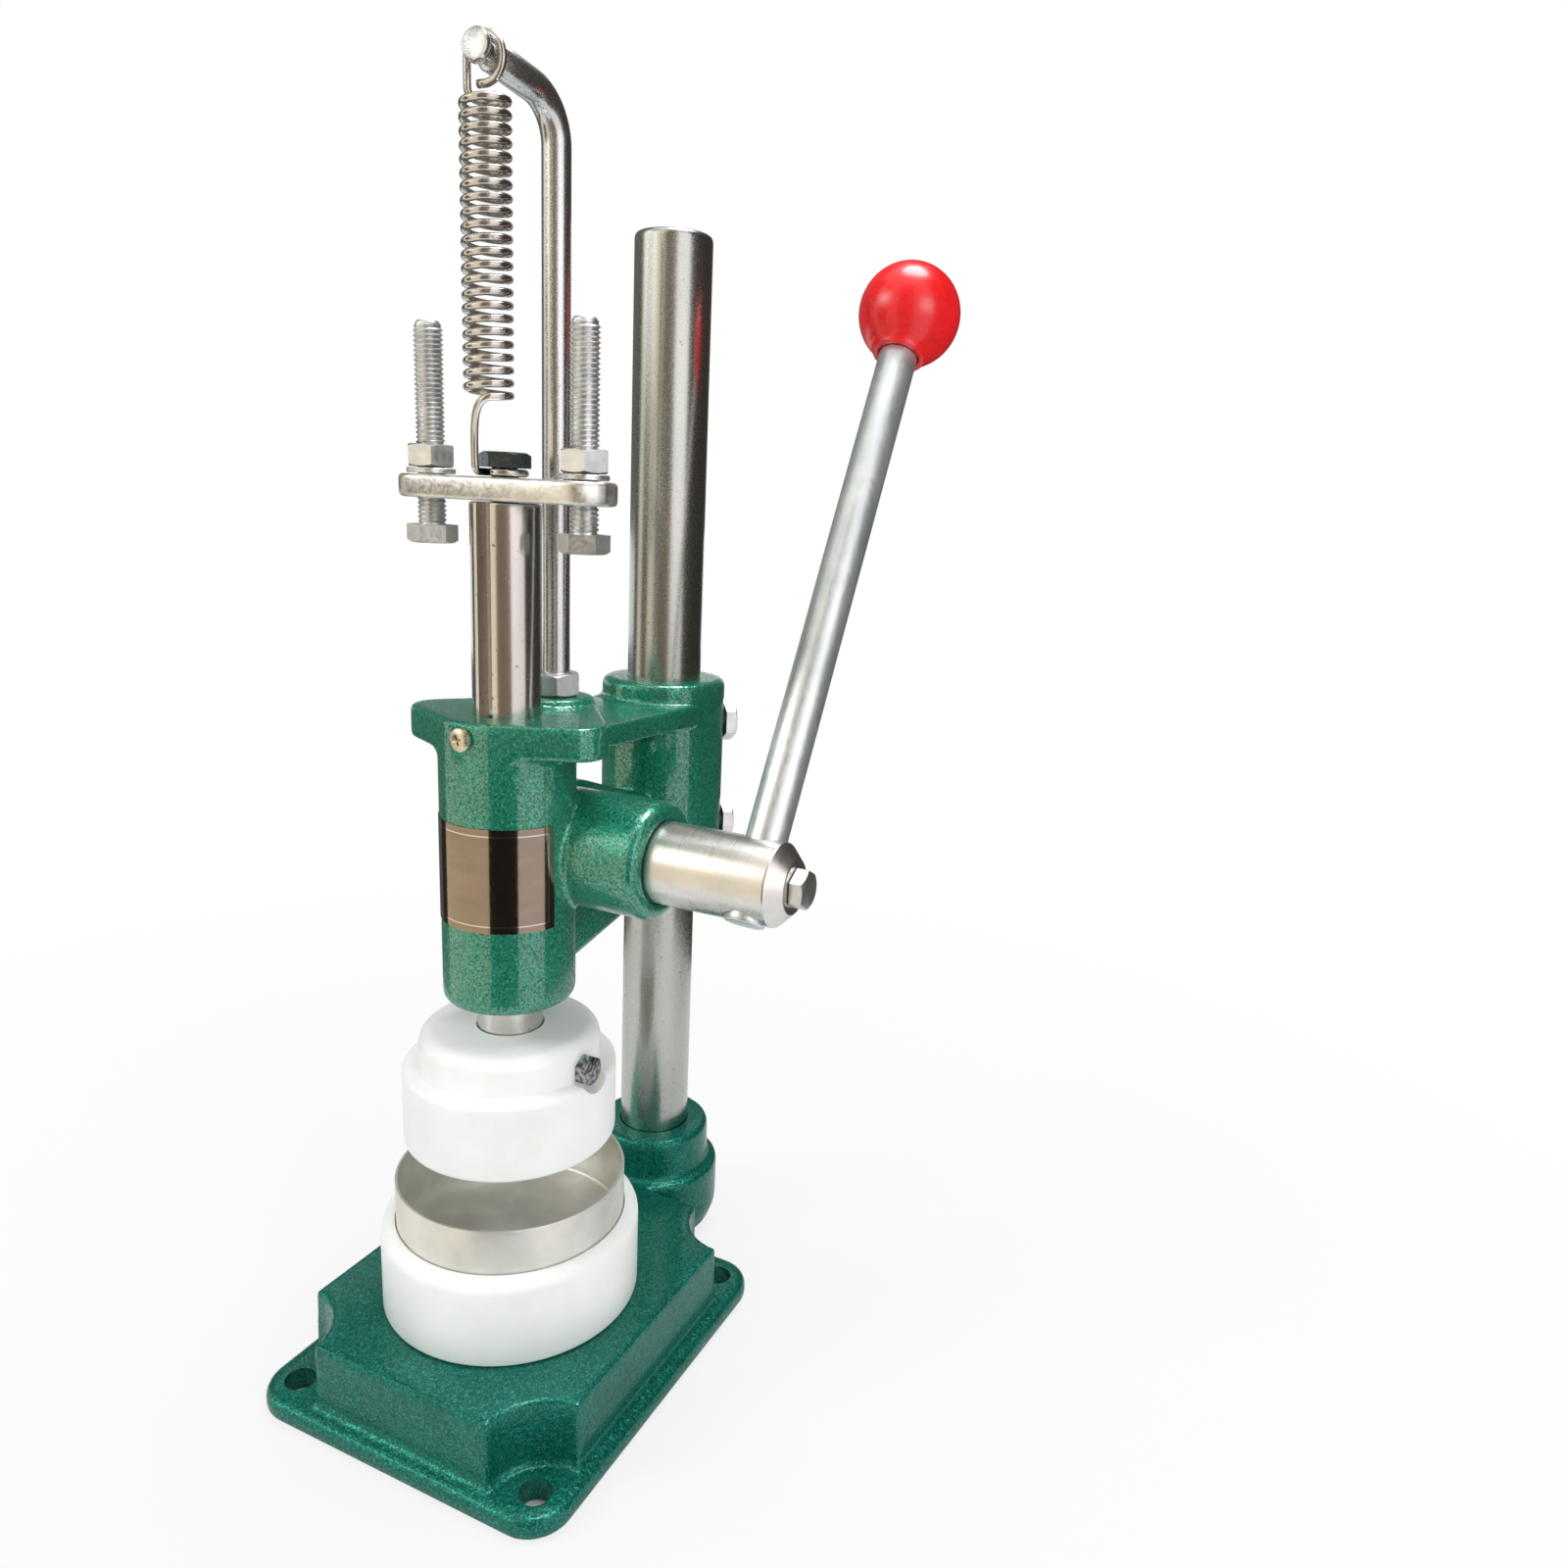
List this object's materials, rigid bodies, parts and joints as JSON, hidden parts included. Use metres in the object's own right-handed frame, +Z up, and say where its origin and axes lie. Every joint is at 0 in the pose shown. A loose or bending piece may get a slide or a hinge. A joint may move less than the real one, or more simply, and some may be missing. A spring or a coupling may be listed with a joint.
{
  "type": "tartlet shell press",
  "caption": "Bench press with a column, rack ram, pinion handle and return spring that pushes a white plug into a ring to form round tartlet shells",
  "frame": {"origin": "on the ram's axis, at the surface that the base stands on", "axes": "+Z up along the ram; -Y is the front, where the user stands; the column is toward +Y; the handle is toward +X"},
  "size_m": [0.1428, 0.1821, 0.3808],
  "materials": {
    "green_paint": "hammered",
    "polished_steel": "polished",
    "silver_steel": "satin",
    "zinc_plate": "plated",
    "ring_steel": "satin",
    "white_nylon": "turned",
    "red_plastic": "gloss"
  },
  "bodies": {
    "base": {"base_casting": "green_paint", "column": "polished_steel", "column_set_screw": "zinc_plate", "lower_die": "white_nylon", "mould_ring": "ring_steel", "die_fixing_screw_1": "zinc_plate", "die_fixing_screw_2": "zinc_plate"},
    "head": {"head_casting": "green_paint", "column_clamp_bolt_1": "zinc_plate", "column_clamp_bolt_2": "zinc_plate", "guide_screw": "zinc_plate", "spring_hanger": "polished_steel", "hanger_nut": "zinc_plate", "pinion_keeper_screw": "zinc_plate", "return_spring": "polished_steel"},
    "ram": {"ram": "polished_steel", "stop_plate": "silver_steel", "ram_top_bolt": "zinc_plate", "stop_bolt_1": "zinc_plate", "stop_bolt_2": "zinc_plate", "stop_washer_1": "zinc_plate", "stop_washer_2": "zinc_plate", "stop_nut_1": "zinc_plate", "stop_nut_2": "zinc_plate", "upper_die": "white_nylon", "upper_die_screw": "zinc_plate"},
    "pinion": {"pinion_shaft": "silver_steel", "handle_rod": "silver_steel", "ball_knob": "red_plastic", "handle_lock_bolt": "zinc_plate"}
  },
  "joints": [
    {"name": "head_height", "type": "slide", "parent": "base", "child": "head", "axis": [0, 0, 1], "range_m": [0, 0.13]},
    {"name": "pinion_turn", "type": "hinge", "parent": "head", "child": "pinion", "pos_m": [0.072, 0.0163, 0.1707], "axis": [1, 0, 0], "range_deg": [0, 174.6], "stiffness_Nm_per_rad": 0.54, "springref_deg": -32.72},
    {"name": "ram_slide", "type": "slide", "parent": "head", "child": "ram", "axis": [0, 0, -1], "range_m": [0, 0.032], "deforming": ["return_spring"]}
  ],
  "couplings": [
    {"joint": "ram_slide", "follows": "pinion_turn", "m_per_rad": 0.0105}
  ]
}
